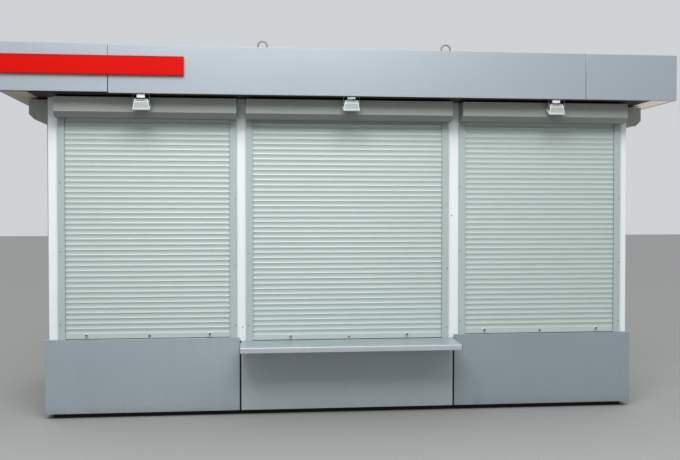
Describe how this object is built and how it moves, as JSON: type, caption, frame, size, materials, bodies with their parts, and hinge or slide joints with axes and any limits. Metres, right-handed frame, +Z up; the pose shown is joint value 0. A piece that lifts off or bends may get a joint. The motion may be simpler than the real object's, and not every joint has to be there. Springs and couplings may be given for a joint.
{
  "type": "street kiosk",
  "caption": "Street kiosk: low framed cabin with closed slatted roller shutters, clad plinth, small counter shelf and a wide boxed flat roof with a plain red band and floodlights",
  "frame": {"origin": "on the ground, at the middle of the cabin's plan, under the middle cross rail", "axes": "+Z up, +X to the right of someone who faces the sales front, +Y from the front to the back"},
  "size_m": [5.65, 2.878, 3.133],
  "materials": {
    "base_steel": "matt black paint",
    "floor_board": "sealed board",
    "white_paint": "satin white powder coat",
    "wall_panel": "satin off-white sheet faces",
    "door_paint": "satin grey powder coat",
    "door_furniture": "brushed",
    "plinth_sheet": "satin grey-blue sheet with dust",
    "counter_sheet": "satin grey sheet",
    "soffit_sheet": "matt warm grey sheet",
    "roof_steel": "primer grey",
    "roof_sheet": "weathered zinc-coated sheet",
    "galvanised_bar": "galvanised",
    "fascia_sheet": "satin silver-blue composite sheet",
    "stripe_red": "satin red",
    "shutter_box": "satin light grey",
    "shutter_slats": "satin light grey",
    "shutter_guides": "satin light grey",
    "lamp_housing": "satin white"
  },
  "bodies": {
    "root": {"base_long_rails": "base_steel", "base_cross_rails": "base_steel", "floor_deck": "floor_board", "front_corner_posts": "white_paint", "front_mullions": "white_paint", "back_corner_posts": "white_paint", "front_sill_panels": "wall_panel", "front_head_panels": "wall_panel", "side_sill_panels": "wall_panel", "side_head_panels": "wall_panel", "side_wall_panels": "wall_panel", "back_wall_panels": "wall_panel", "back_wall_over_door": "wall_panel", "door_frame": "white_paint", "door_leaf": "door_paint", "door_handle": "door_furniture", "plinth_front_left": "plinth_sheet", "plinth_front_middle": "plinth_sheet", "plinth_front_right": "plinth_sheet", "plinth_sides": "plinth_sheet", "plinth_back": "plinth_sheet", "counter_shelf": "counter_sheet", "soffit_panel": "soffit_sheet", "roof_edge_beams": "roof_steel", "roof_joists": "roof_steel", "roof_cover": "roof_sheet", "lifting_loops": "galvanised_bar", "fascia_front_left": "fascia_sheet", "fascia_front_middle": "fascia_sheet", "fascia_front_right": "fascia_sheet", "fascia_sides": "fascia_sheet", "fascia_back": "fascia_sheet", "red_stripe": "stripe_red", "shutter_box_left": "shutter_box", "shutter_box_middle": "shutter_box", "shutter_box_right": "shutter_box", "side_shutter_boxes": "shutter_box", "shutter_curtain_left": "shutter_slats", "shutter_curtain_middle": "shutter_slats", "shutter_curtain_right": "shutter_slats", "side_shutter_curtains": "shutter_slats", "front_guide_rails": "shutter_guides", "side_guide_rails": "shutter_guides", "floodlights": "lamp_housing"}
  },
  "joints": []
}
